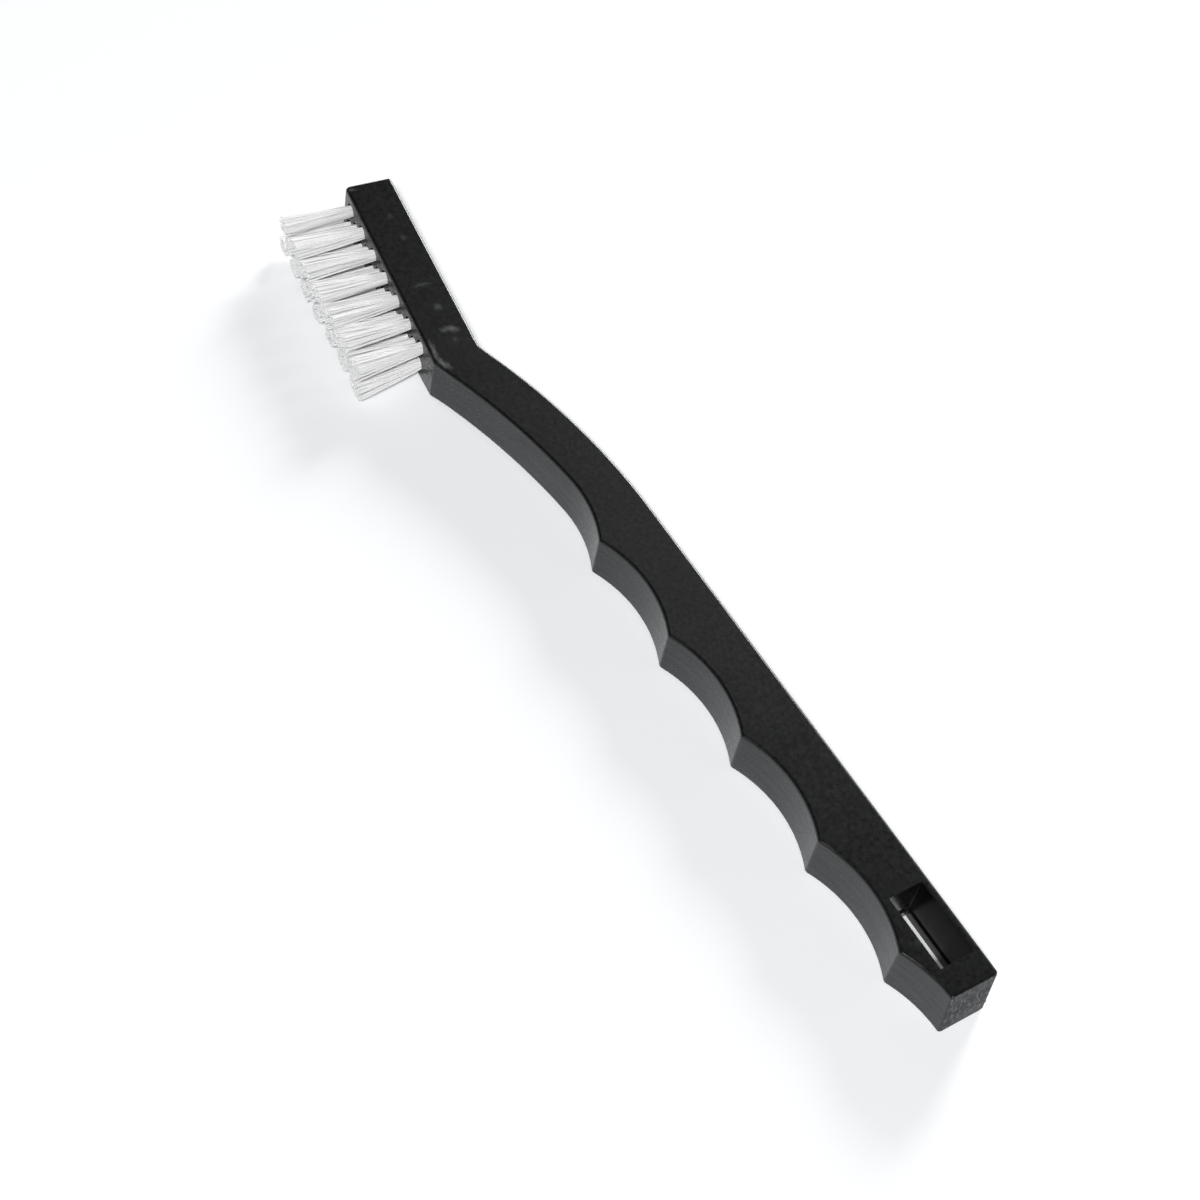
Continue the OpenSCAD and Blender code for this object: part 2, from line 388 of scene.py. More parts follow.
class HandleShape:
    """Side view and thickness of the handle, in mm from the back corner of the hanging end.

    x runs to the hanging end, y to the back and z out of the side face that shows. The underside is a
    large arc at the neck and scallops along the grip, with a rounded nose between two of them."""

    def __init__(self, h):
        self.h = h
        t = h.head_tilt
        # Directions along the head to its front, and out of its bristle face.
        self.front = Vector((-math.cos(t), math.sin(t)))
        self.out = Vector((-math.sin(t), -math.cos(t)))
        head_x = -h.length + h.head_l * math.cos(t) + h.head_h * math.sin(t)
        head_x -= h.front_face_r * (math.cos(t) + math.sin(t) - 1)
        head_y = -h.neck_r + math.sqrt(h.neck_r**2 - (head_x + h.neck_start) ** 2)
        # Corner between the back of the head and the bend.
        self.corner = Vector((head_x, head_y))
        self.mid = max(h.end_w, h.head_w) / 2
        self.under = Vector((-h.under_start, -h.neck_h - h.under_r))
        # The heel's arc touches the bristle face and the underside's arc.
        start = self.head(0, h.head_h - h.heel_r) - self.under
        b = -start.dot(self.front)
        reach = -b - math.sqrt(b * b - start.dot(start) + (h.under_r + h.heel_r) ** 2)
        self.heel_s = -reach
        self.heel = self.head(self.heel_s, h.head_h - h.heel_r)
        to_under = (self.under - self.heel).normalized()
        self.heel_to = self.heel + h.heel_r * to_under
        x = self.scallop(h.nose_count).x
        self.under_end = self.under.x + (x - self.under.x) * h.under_r / (h.under_r - h.scallop_r)

    def head(self, s, d):
        """Point of the head s in front of its corner and d below its back."""
        return self.corner + s * self.front + d * self.out

    def scallop(self, i):
        """Centre of scallop i, counted from the hanging end. The last one touches the neck's arc."""
        h = self.h
        x = -h.nose_end_gap - (i - 0.5) * h.scallop_pitch
        if i < h.nose_count:
            return Vector((x, -h.grip_h - h.scallop_r))
        apart = h.under_r - h.scallop_r
        return Vector((x, self.under.y + math.sqrt(apart**2 - (x - self.under.x) ** 2)))

    def nose(self, i):
        """Centre of the rounded tip between two scallops."""
        a, b = self.scallop(i + 1), self.scallop(i)
        up = Vector((a.y - b.y, b.x - a.x)).normalized()
        apart = self.h.scallop_r + self.h.nose_r
        return (a + b) / 2 + up * math.sqrt(apart**2 - ((b - a).length / 2) ** 2)

    def back_y(self, x):
        """Height of the back."""
        h = self.h
        corner = -h.end_corner_r
        if x > corner:
            return corner + math.sqrt(max(0.0, h.end_corner_r**2 - (x - corner) ** 2))
        if x > -h.neck_start:
            return 0.0
        return -h.neck_r + math.sqrt(h.neck_r**2 - (x + h.neck_start) ** 2)

    def belly_y(self, x):
        """Height of the underside, with sharp noses."""
        h = self.h
        if x < self.heel_to.x:
            return self.heel.y - math.sqrt(max(0.0, h.heel_r**2 - (x - self.heel.x) ** 2))
        if x < self.under_end:
            return self.under.y + math.sqrt(h.under_r**2 - (x - self.under.x) ** 2)
        return max(
            c.y + math.sqrt(max(0.0, h.scallop_r**2 - (x - c.x) ** 2))
            for c in (self.scallop(i) for i in range(h.nose_count + 1))
            if abs(x - c.x) < h.scallop_r
        )

    def belly_rounded(self, x):
        """Height of the underside with its noses rounded."""
        for i in range(self.h.nose_count):
            c = self.nose(i)
            touch = max(abs((s - c).normalized().x) for s in (self.scallop(i), self.scallop(i + 1)))
            if abs(x - c.x) < self.h.nose_r * touch:
                return c.y - math.sqrt(self.h.nose_r**2 - (x - c.x) ** 2)
        return self.belly_y(x)

    def leaned(self, x, z):
        """Where a point of the hanging end goes, because the end leans over its last part."""
        return x - self.h.end_lean * z / (2 * self.mid) * max(0.0, (x + LEAN_L) / LEAN_L)

    def half_w(self, x):
        """Half the thickness of the handle."""
        h = self.h
        to = self.corner.x + h.blend_l / 2
        start = self.corner.x - h.blend_l / 2
        if x >= to:
            return h.neck_w / 2 + (h.end_w - h.neck_w) / 2 * (x - to) / -to
        if x <= start:
            return h.head_w / 2
        q = (x - start) / h.blend_l
        return h.head_w / 2 + (h.neck_w - h.head_w) / 2 * (1 - math.cos(math.pi * q)) / 2


def quarter(r, steps):
    """Distances from a rounded edge of radius r, with how far the surface is drawn in there."""
    angles = [math.pi / 2 * k / steps for k in range(steps + 1)]
    return [(r * (1 - math.cos(a)), r * (1 - math.sin(a))) for a in angles]


def drawn_in(r, e):
    """How far a rounding of radius r draws the surface in, at the distance e from the edge."""
    return r - math.sqrt(max(0.0, r * r - (r - e) ** 2)) if e < r else 0.0


# How finely the handle is cut into cross-sections: the distance between two, in mm, or their number.
GRIP_STEP = 0.6
NOSE_STEP, NOSE_STEPS = 0.1, 7
HEEL_STEP = 0.12
HEAD_STEPS = 28
END_STEPS = 6
EDGE_STEPS = 5


def sections(shape):
    """Cross-sections of the handle from the hanging end to the front.

    Each has its point on the back, its point on the underside and how far its sides are drawn in."""
    h = shape.h
    xs = {0.0}
    x = -GRIP_STEP
    while x > shape.corner.x + GRIP_STEP / 2:
        xs.add(round(x, 3))
        x -= GRIP_STEP
    for r in (h.end_corner_r, h.end_edge_r):
        xs.update(-e for e, _ in quarter(r, END_STEPS))
    for i in range(h.nose_count):
        for k in range(-NOSE_STEPS, NOSE_STEPS + 1):
            xs.add(shape.nose(i).x + k * NOSE_STEP)
    x = shape.heel_to.x
    while x > shape.heel.x + h.heel_r * shape.out.x:
        xs.add(x)
        x -= HEEL_STEP
    out = []
    for x in sorted(xs, reverse=True):
        draw = drawn_in(h.end_edge_r, -x)
        back, belly = Vector((x, shape.back_y(x))), Vector((x, shape.belly_rounded(x) + draw))
        out.append((back, belly, draw))
    # Past the bend the sections turn, until they stand square to the head at its front.
    skew = -shape.heel_s
    for k in range(1, HEAD_STEPS):
        s = (h.head_l - h.front_face_r) * k / HEAD_STEPS
        out.append((shape.head(s, 0), shape.head(s - skew * (1 - s / h.head_l), h.head_h), 0.0))
    radii = (h.front_back_r, h.front_face_r, h.edge_r)
    for e in sorted({e for r in radii for e, _ in quarter(r, EDGE_STEPS)}, reverse=True):
        at_back, at_face, at_side = (drawn_in(r, e) for r in radii)
        s = h.head_l - e
        out.append((shape.head(s, at_back), shape.head(s, h.head_h - at_face), at_side))
    return out


def ring_of(shape, back, belly, draw):
    """Points of a cross-section, a rectangle with rounded corners, from the back over the shown side."""
    along = belly - back
    height = along.length
    along.normalize()
    corner = quarter(shape.h.edge_r, EDGE_STEPS)
    points = [(u, w, 1) for u, w in corner]
    points += [(height - u, w, 1) for u, w in reversed(corner)]
    points += [(height - u, w, -1) for u, w in corner]
    points += [(u, w, -1) for u, w in reversed(corner)]
    ring = []
    for u, w, side in points:
        p = back + along * u
        z = shape.mid + side * (shape.half_w(p.x) - draw - w)
        ring.append((shape.leaned(p.x, z), p.y, z))
    return ring


def loft(rings, points, faces):
    """Adds a closed tube through the rings, with flat ends, to the points and faces."""
    start, n = len(points), len(rings[0])
    for ring in rings:
        points.extend(ring)
    for i in range(len(rings) - 1):
        for j in range(n):
            a, c = start + i * n + j, start + i * n + (j + 1) % n
            faces.append((a, c, c + n, a + n))
    faces.append(tuple(start + j for j in reversed(range(n))))
    faces.append(tuple(start + (len(rings) - 1) * n + j for j in range(n)))


def handle_body(shape):
    """Closed shape of the handle without its holes."""
    points, faces = [], []
    loft([ring_of(shape, *section) for section in sections(shape)], points, faces)
    return points, faces


def torn_gate(shape):
    """Closed rough patch that stands out of the hanging end, where the mould's gate was torn off."""
    rows, cols = 44, 40
    # The patch leaves a narrow margin of the end face, and reaches into the solid behind it. All in mm.
    low, high = shape.belly_y(0) + 0.3, -0.35
    foot, height = 0.22, 2 * shape.mid - 0.5
    deep = -shape.h.end_lean - 0.8
    # The torn plastic bulges most near the side that the brush lies on, and the bulge fades higher up.
    bulge, bulge_top, bulge_fade = 0.42, 9.4, 4.5
    coarse_h, fine_h, sunk, deepest = 0.14, 0.07, 0.06, 0.25
    # Its outer two rows of points dip under the end face, so that no edge of the patch shows.
    rim_rows, tucked = 2, 0.3
    noise_x = 7.0
    points, faces = [], []
    for i in range(rows + 1):
        z = foot + height * i / rows
        for j in range(cols + 1):
            y = low + (high - low) * j / cols
            rim = min(i / rim_rows, (rows - i) / rim_rows, j / rim_rows, (cols - j) / rim_rows, 1.0)
            spot = Vector((noise_x, y, z))
            coarse = noise.fractal(spot * 0.45, 0.8, 2.1, 3)
            fine = noise.fractal(spot * 2.0, 0.8, 2.0, 3)
            across = (y - low) / (high - low)
            swell = math.sin(math.pi * across**1.25) ** 0.6 if 0 < across < 1 else 0.0
            swell *= min(1.0, max(0.0, (bulge_top - z) / bulge_fade))
            out = bulge * swell + coarse_h * coarse + fine_h * fine - sunk
            x = min(0.0, shape.leaned(0.0, z) + max(-deepest, out) * rim) - tucked * (1 - rim)
            points.append((x, y, z))
    n = (rows + 1) * (cols + 1)
    points.extend([(deep, y, z) for _, y, z in points])
    for i in range(rows):
        for j in range(cols):
            a = i * (cols + 1) + j
            quad = (a, a + 1, a + cols + 2, a + cols + 1)
            faces.append(quad)
            faces.append(tuple(n + v for v in reversed(quad)))
    rim_line = list(range(cols + 1))
    rim_line += [i * (cols + 1) + cols for i in range(1, rows + 1)]
    rim_line += [rows * (cols + 1) + j for j in range(cols - 1, -1, -1)]
    rim_line += [i * (cols + 1) for i in range(rows - 1, 0, -1)]
    for k, a in enumerate(rim_line):
        c = rim_line[(k + 1) % len(rim_line)]
        faces.append((a, n + a, n + c, c))
    return points, faces


def hanging_hole(shape):
    """Rings of the hanging hole from below the handle to above it, with its mouths and its ledge."""
    h = shape.h
    corner_steps, least_r = 6, 0.08

    def outline(grow, level, lift):
        x0, y0 = -h.hole_end_gap - h.hole_l - grow, -h.hole_back_wall - h.hole_h - grow
        x1, y1 = -h.hole_end_gap + grow, -h.hole_back_wall + grow
        r = max(least_r, h.hole_corner_r + grow)
        out = []
        for cx, cy, start in (
            (x1 - r, y1 - r, 0),
            (x0 + r, y1 - r, 90),
            (x0 + r, y0 + r, 180),
            (x1 - r, y0 + r, 270),
        ):
            for k in range(corner_steps + 1):
                a = math.radians(start + 90 * k / corner_steps)
                x = cx + r * math.cos(a)
                out.append((x, cy + r * math.sin(a), level(x) + lift))
        return out

    def below(x):
        return shape.mid - shape.half_w(x)

    def above(x):
        return shape.mid + shape.half_w(x)

    def ledge(_):
        return 2 * shape.mid - h.core_depth

    # The rounding of a mouth stops short of a flat angle, and the cutter flares out past the face.
    turns = [math.radians(a) for a in (0, 20, 40, 60, 78)]
    mouth = [(h.hole_mouth_r * (1 - math.cos(a)), h.hole_mouth_r * (1 - math.sin(a))) for a in turns]
    flare, past = mouth[-1][0] + 0.25, 0.06
    rings = [outline(flare - h.core_ledge, below, -past)]
    rings += [outline(grow - h.core_ledge, below, deep) for grow, deep in reversed(mouth)]
    rings += [outline(-h.core_ledge, ledge, -0.02), outline(0.0, ledge, 0.05)]
    rings += [outline(grow, above, -deep) for grow, deep in mouth]
    return rings + [outline(flare, above, past)]


def end_nick(shape):
    """Rings of a nick across the top edge of the hanging end, which gets deeper towards the end."""
    from_back, near, far, deep = 1.95, 0.2, 0.16, 0.34
    start, end = -shape.h.end_lean - 1.1, -shape.h.end_lean + 0.3
    face = 2 * shape.mid
    top = face + 0.1
    return [
        [(x, -from_back - far, top), (x, -from_back, face - d), (x, -from_back + near, top)]
        for x, d in ((start, 0.0), (end, deep))
    ]


def tuft_hole(shape, b, i, side):
    """Rings of tuft hole i of a row, from its bottom to above the bristle face, with its broken edge."""
    h = shape.h
    s = h.head_l - b.first_tuft - (i + (0.5 if side == 0 else 0.0)) * b.tuft_pitch
    points_round, edge, past = 32, 0.1, 0.4
    rings = []
    for d, grow in (
        (-b.hole_depth, 0),
        (-edge, 0),
        (-edge * 0.3, edge * 0.3),
        (0.0, edge),
        (past, edge + past),
    ):
        r = b.hole_d / 2 + grow
        ring = []
        for k in range(points_round):
            a = 2 * math.pi * k / points_round
            p = shape.head(s - r * math.cos(a), h.head_h + d)
            ring.append((p.x, p.y, shape.mid + side * b.row_pitch + r * math.sin(a)))
        rings.append(ring)
    return rings


def handle_cutters(shape, b):
    """Closed shapes of all that is cut out of the handle."""
    points, faces = [], []
    loft(hanging_hole(shape), points, faces)
    loft(end_nick(shape), points, faces)
    for side in (1, 0, -1):
        for i in range(b.row_tufts - (side == 0)):
            loft(tuft_hole(shape, b, i, side), points, faces)
    return points, faces


# ---------------------------------------------------------------- materials


# Pale stress marks on the side of the head, and a painted highlight where the head meets the neck.
# In mm: along the row from the first tuft, above the bristle face, half length, half height, turn in
# degrees, strength.
STRESS_MARKS_AND_HIGHLIGHT = (
    (5.75, 5.35, 0.55, 0.5, 0, 0.18),
    (11.5, 5.6, 0.5, 0.45, 0, 0.18),
    (23.0, 4.6, 0.3, 1.4, 0, 0.26),
    (28.75, 5.4, 0.65, 0.6, 0, 0.3),
    (34.3, 5.7, 0.55, 1.0, -20, 0.62),
    (34.2, 4.5, 0.45, 0.7, -12, 0.4),
    (36.8, 5.4, 0.4, 0.4, 0, 0.2),
    # These two rows are a painted highlight on the corner where the head meets the neck, by the bristle
    # face.
    (38.2, 0.95, 1.8, 0.34, 0, 0.62),
    (41.0, 1.5, 1.3, 0.4, 28, 0.75),
    (-2.45, 1.0, 0.35, 0.5, 0, 0.5),
)
POLYPROPYLENE_IOR = 1.49
WHITE = (1.0, 1.0, 1.0, 1.0)


def per_mm(x, y, z):
    """Scale of a pattern that repeats about every x, y and z mm."""
    return (1 / (x * MM), 1 / (y * MM), 1 / (z * MM))


def dimmed(colour, share):
    """A linear colour at a share of its brightness."""
    return tuple(c * share for c in colour[:3]) + (1.0,)


def stress_marks_and_highlight(tree, place, shape, b, at):
    """Strength of the pale marks where the anchors strained the plastic, and of a painted highlight
    where the head meets the neck, in the head's own axes.
    """
    h = shape.h
    start = shape.head(h.head_l - b.first_tuft, h.head_h)
    origin = (-(start.x + at.x) * MM, -(start.y + at.y) * MM, 0.0)
    from_tuft = add(tree, "ShaderNodeMapping", {"Vector": place, "Location": origin})
    inputs = {"Vector": from_tuft.outputs["Vector"], "Rotation": (0, 0, h.head_tilt)}
    head = add(tree, "ShaderNodeMapping", inputs)
    # Their outlines are ragged: each spot is read up to 0.65 mm away from its place.
    ragged = add(tree, "ShaderNodeTexNoise", {"Vector": place, "Scale": 1 / (0.9 * MM), "Detail": 3.0})
    off = add(
        tree,
        "ShaderNodeVectorMath",
        {0: ragged.outputs["Color"], 1: (0.5, 0.5, 0.5)},
        operation="SUBTRACT",
    )
    off = add(tree, "ShaderNodeVectorMath", {0: off.outputs[0], "Scale": 1.3 * MM}, operation="SCALE")
    spot = add(
        tree,
        "ShaderNodeVectorMath",
        {0: head.outputs["Vector"], 1: off.outputs[0]},
        operation="ADD",
    )
    marks_and_highlight = 0.0
    for along, up, half_l, half_h, angle, strength in STRESS_MARKS_AND_HIGHLIGHT:
        blob = add(
            tree,
            "ShaderNodeMapping",
            {
                "Vector": spot.outputs[0],
                "Location": (along * MM, up * MM, 0.0),
                "Rotation": (0, 0, math.radians(angle)),
                "Scale": (half_l * MM, half_h * MM, 1.0),
            },
            vector_type="TEXTURE",
        )
        inputs = {0: blob.outputs["Vector"], 1: (1.0, 1.0, 0.0)}
        flat = add(tree, "ShaderNodeVectorMath", inputs, operation="MULTIPLY")
        far = add(tree, "ShaderNodeVectorMath", {0: flat.outputs[0]}, operation="LENGTH")
        fade = add(
            tree,
            "ShaderNodeMapRange",
            {
                "Value": far.outputs["Value"],
                "From Min": 0.2,
                "From Max": 1.7,
                "To Min": strength,
                "To Max": 0.0,
            },
        )
        inputs = {0: fade.outputs["Result"], 1: marks_and_highlight}
        marks_and_highlight = add(tree, "ShaderNodeMath", inputs, operation="MAXIMUM").outputs[0]
    return marks_and_highlight


def moulded_polypropylene(shape, b, at):
    """Injection-moulded black polypropylene: a deep black with a soft sheen.

    It has a fine spark-eroded grain on the flat faces, drag lines from the mould on the scallops, pale
    stress marks over the anchors and a painted highlight where the head meets the neck."""
    material = new_material("moulded_black_polypropylene")
    tree = material.node_tree
    place = add(tree, "ShaderNodeTexCoord").outputs["Object"]
    # Spark-eroded grain, drawn at about 0.7 mm, which is what still shows at this size.
    grain = add(tree, "ShaderNodeTexNoise", {"Vector": place, "Scale": 1 / (0.7 * MM), "Detail": 2.0})
    grain = add(
        tree,
        "ShaderNodeMapRange",
        {"Value": grain.outputs["Fac"], "From Min": 0.2, "From Max": 0.8},
    ).outputs["Result"]
    # Slow waves of about 12 mm where the thick plastic sank as it cooled.
    sink = add(tree, "ShaderNodeTexNoise", {"Vector": place, "Scale": 1 / (12 * MM), "Detail": 1.0})
    # Cutter lines of the mould run along the scallops, about 0.6 mm apart across their width.
    drawn = add(tree, "ShaderNodeMapping", {"Vector": place, "Scale": per_mm(9, 9, 0.6)})
    lines = add(
        tree,
        "ShaderNodeTexNoise",
        {"Vector": drawn.outputs["Vector"], "Scale": 1.0, "Detail": 3.0, "Roughness": 0.7},
    ).outputs["Fac"]
    # They are on the walls only, and the grain, the stress marks and the painted highlight are on the
    # flat sides.
    normal = add(tree, "ShaderNodeNewGeometry").outputs["Normal"]
    up = add(tree, "ShaderNodeSeparateXYZ", {"Vector": normal}).outputs["Z"]
    level = add(tree, "ShaderNodeMath", {0: up}, operation="ABSOLUTE").outputs[0]
    wall = add(
        tree,
        "ShaderNodeMapRange",
        {"Value": level, "From Min": 0.25, "From Max": 0.75, "To Min": 1.0, "To Max": 0.0},
    ).outputs["Result"]
    streak = add(tree, "ShaderNodeMapRange", {"Value": lines, "From Min": 0.35, "From Max": 0.75})
    inputs = {0: streak.outputs["Result"], 1: wall}
    streak = add(tree, "ShaderNodeMath", inputs, operation="MULTIPLY").outputs[0]
    top = add(tree, "ShaderNodeMath", {0: up, 1: 0.9}, operation="GREATER_THAN").outputs[0]
    inputs = {0: stress_marks_and_highlight(tree, place, shape, b, at), 1: top}
    marks_and_highlight = add(tree, "ShaderNodeMath", inputs, operation="MULTIPLY").outputs[0]

    black = linear(shape.h.plastic)
    tone = dimmed(black, 0.4)
    for share, colour in (
        (grain, dimmed(black, 1.7)),
        (streak, linear("#2b2c2e")),
        # Pale stress marks over the anchors, and a painted highlight where the head meets the neck.
        (marks_and_highlight, linear("#6a6b6c")),
    ):
        inputs = {"Factor": share, "A": tone, "B": colour}
        tone = add(tree, "ShaderNodeMix", inputs, data_type="RGBA").outputs[2]
    rough = add(tree, "ShaderNodeMapRange", {"Value": grain, "To Min": 0.25, "To Max": 0.35})
    inputs = {0: streak, 1: -0.03, 2: rough.outputs["Result"]}
    rough = add(tree, "ShaderNodeMath", inputs, operation="MULTIPLY_ADD").outputs[0]
    wall_lines = add(tree, "ShaderNodeMath", {0: lines, 1: wall}, operation="MULTIPLY").outputs[0]
    height = 0.0
    for pattern, height_mm in ((grain, 0.004), (sink.outputs["Fac"], 0.15), (wall_lines, 0.03)):
        inputs = {0: pattern, 1: height_mm, 2: height}
        height = add(tree, "ShaderNodeMath", inputs, operation="MULTIPLY_ADD").outputs[0]
    bump = add(tree, "ShaderNodeBump", {"Strength": 0.6, "Distance": MM, "Height": height})
    shader = add(
        tree,
        "ShaderNodeBsdfPrincipled",
        {
            "Base Color": tone,
            "Roughness": rough,
            "IOR": POLYPROPYLENE_IOR,
            "Normal": bump.outputs["Normal"],
        },
    )
    add(tree, "ShaderNodeOutputMaterial", {"Surface": shader.outputs[0]})
    return material


def polished_polypropylene_with_painted_shade():
    """The same black polypropylene where a polished core shaped it, in the hanging hole: glossy, and
    darker than the moulded faces as painted shade.
    """
    material = new_material("polished_black_polypropylene_with_painted_shade")
    tree = material.node_tree
    place = add(tree, "ShaderNodeTexCoord").outputs["Object"]
    # Drag lines of the core, about 0.4 mm apart, run through the hole.
    drawn = add(tree, "ShaderNodeMapping", {"Vector": place, "Scale": per_mm(0.4, 0.4, 12)})
    inputs = {"Vector": drawn.outputs["Vector"], "Scale": 1.0, "Detail": 2.0}
    drag = add(tree, "ShaderNodeTexNoise", inputs).outputs["Fac"]
    rough = add(tree, "ShaderNodeMapRange", {"Value": drag, "To Min": 0.2, "To Max": 0.3})
    shader = add(
        tree,
        "ShaderNodeBsdfPrincipled",
        {
            # Darker than the moulded plastic: painted shade inside the hanging hole.
            "Base Color": linear("#050505"),
            "Roughness": rough.outputs["Result"],
            "IOR": POLYPROPYLENE_IOR,
        },
    )
    add(tree, "ShaderNodeOutputMaterial", {"Surface": shader.outputs[0]})
    return material


def torn_polypropylene_with_painted_reflection():
    """The same black polypropylene where the gate was torn off: dull, with whitish streaks that are torn
    fibres and partly a painted reflection.
    """
    material = new_material("torn_black_polypropylene_with_painted_reflection")
    tree = material.node_tree
    place = add(tree, "ShaderNodeTexCoord").outputs["Object"]
    # Torn fibres about 0.4 mm wide, four times as long, run from one side of the end to the other.
    drawn = add(tree, "ShaderNodeMapping", {"Vector": place, "Scale": per_mm(0.6, 0.4, 1.6)})
    inputs = {"Vector": drawn.outputs["Vector"], "Scale": 1.0, "Detail": 4.0, "Roughness": 0.7}
    torn = add(tree, "ShaderNodeTexNoise", inputs).outputs["Fac"]
    # The lighter base and the pale streaks are torn fibres and partly a painted reflection on the end
    # face.
    pale = add(tree, "ShaderNodeMapRange", {"Value": torn, "From Min": 0.5, "From Max": 0.75})
    tone = add(
        tree,
        "ShaderNodeMix",
        {"Factor": pale.outputs["Result"], "A": linear("#1c1d1e"), "B": linear("#808183")},
        data_type="RGBA",
    )
    rough = add(tree, "ShaderNodeMapRange", {"Value": torn, "To Min": 0.5, "To Max": 0.75})
    bump = add(tree, "ShaderNodeBump", {"Strength": 0.7, "Distance": 0.06 * MM, "Height": torn})
    shader = add(
        tree,
        "ShaderNodeBsdfPrincipled",
        {
            "Base Color": tone.outputs[2],
            "Roughness": rough.outputs["Result"],
            "IOR": POLYPROPYLENE_IOR,
            "Normal": bump.outputs["Normal"],
        },
    )
    add(tree, "ShaderNodeOutputMaterial", {"Surface": shader.outputs[0]})
    return material


def nylon_filament(b):
    """Extruded nylon filament: off-white and slightly translucent, smooth along its length.

    Its tone differs a little from one filament to the next."""
    material = new_material("off_white_nylon_filament")
    tree = material.node_tree
    place = add(tree, "ShaderNodeTexCoord").outputs["Object"]
    # The tone changes within about a filament's width across the tufts, and slowly along them.
    drawn = add(tree, "ShaderNodeMapping", {"Vector": place, "Scale": per_mm(0.5, 8, 0.5)})
    inputs = {"Vector": drawn.outputs["Vector"], "Scale": 1.0, "Detail": 2.0}
    tone = add(tree, "ShaderNodeTexNoise", inputs)
    white = linear(b.nylon)
    mix = add(
        tree,
        "ShaderNodeMix",
        {"Factor": tone.outputs["Fac"], "A": dimmed(white, 0.9), "B": white},
        data_type="RGBA",
    )
    shader = add(
        tree,
        "ShaderNodeBsdfPrincipled",
        {
            "Base Color": mix.outputs[2],
            "Roughness": 0.5,
            "IOR": 1.53,
            "Subsurface Weight": 0.3,
            "Subsurface Scale": 0.3 * MM,
            "Subsurface Radius": (1.0, 1.0, 1.0),
        },
    )
    add(tree, "ShaderNodeOutputMaterial", {"Surface": shader.outputs[0]})
    return material


def rolled_nickel_silver(b):
    """Rolled nickel silver strip: a pale warm metal with fine lines along the strip."""
    material = new_material("rolled_nickel_silver")
    tree = material.node_tree
    place = add(tree, "ShaderNodeTexCoord").outputs["Object"]
    # Rolling lines about 0.05 mm apart run along the strip.
    drawn = add(tree, "ShaderNodeMapping", {"Vector": place, "Scale": per_mm(0.05, 0.05, 2)})
    inputs = {"Vector": drawn.outputs["Vector"], "Scale": 1.0, "Detail": 1.0}
    lines = add(tree, "ShaderNodeTexNoise", inputs).outputs["Fac"]
    rough = add(tree, "ShaderNodeMapRange", {"Value": lines, "To Min": 0.28, "To Max": 0.42})
    shader = add(
        tree,
        "ShaderNodeBsdfPrincipled",
        {"Base Color": linear(b.metal), "Metallic": 1.0, "Roughness": rough.outputs["Result"]},
    )
    add(tree, "ShaderNodeOutputMaterial", {"Surface": shader.outputs[0]})
    return material


def matt_white_paper(colour):
    """Matt white paper: reads as white to the camera and keeps a soft grey shadow."""
    material = new_material("matt_white_paper")
    tree = material.node_tree
    path = add(tree, "ShaderNodeLightPath").outputs
    inputs = {0: path["Is Camera Ray"], 1: path["Is Glossy Ray"]}
    seen = add(tree, "ShaderNodeMath", inputs, operation="MAXIMUM").outputs[0]
    inputs = {0: seen, 1: path["Is Transmission Ray"]}
    seen = add(tree, "ShaderNodeMath", inputs, operation="MAXIMUM").outputs[0]
    # Past 0.25 to 0.45 m from the brush the paper is plain white to the eye, so no edge of it shows.
    place = add(tree, "ShaderNodeTexCoord").outputs["Object"]
    far = add(tree, "ShaderNodeVectorMath", {0: place}, operation="LENGTH").outputs["Value"]
    far = add(
        tree,
        "ShaderNodeMapRange",
        {"Value": far, "From Min": 0.25, "From Max": 0.45},
        interpolation_type="SMOOTHSTEP",
    ).outputs["Result"]
    plain = add(tree, "ShaderNodeEmission", {"Color": WHITE, "Strength": 1.0}).outputs[0]
    lift = add(tree, "ShaderNodeEmission", {"Color": WHITE, "Strength": 0.12}).outputs[0]
    paper = add(tree, "ShaderNodeBsdfDiffuse", {"Color": linear(colour)}).outputs[0]
    both = add(tree, "ShaderNodeAddShader", {0: paper, 1: lift}).outputs[0]
    both = add(tree, "ShaderNodeMixShader", {0: far, 1: both, 2: plain}).outputs[0]
    mix = add(tree, "ShaderNodeMixShader", {0: seen, 1: paper, 2: both}).outputs[0]
    add(tree, "ShaderNodeOutputMaterial", {"Surface": mix})
    return material


# ---------------------------------------------------------------- bristles


FLOAT, INT, VECTOR = "NodeSocketFloat", "NodeSocketInt", "NodeSocketVector"
BRISTLE_INPUTS = (
    ("Tufts in an outer row", INT),
    ("Filaments in a tuft", INT),
    ("Points along a filament", INT),
    ("Filament diameter", FLOAT),
    ("Trim length", FLOAT),
    ("Root depth", FLOAT),
    ("Root radius", FLOAT),
    ("Tip half length", FLOAT),
    ("Tip half width", FLOAT),
    ("Tuft pitch", FLOAT),
    ("Row pitch", FLOAT),
    ("Near row lean", FLOAT),
    ("Far row lean", FLOAT),
    ("Lean towards the neck", FLOAT),
    ("First tuft", VECTOR),
    ("Head tilt", FLOAT),
    ("Seed", INT),
)

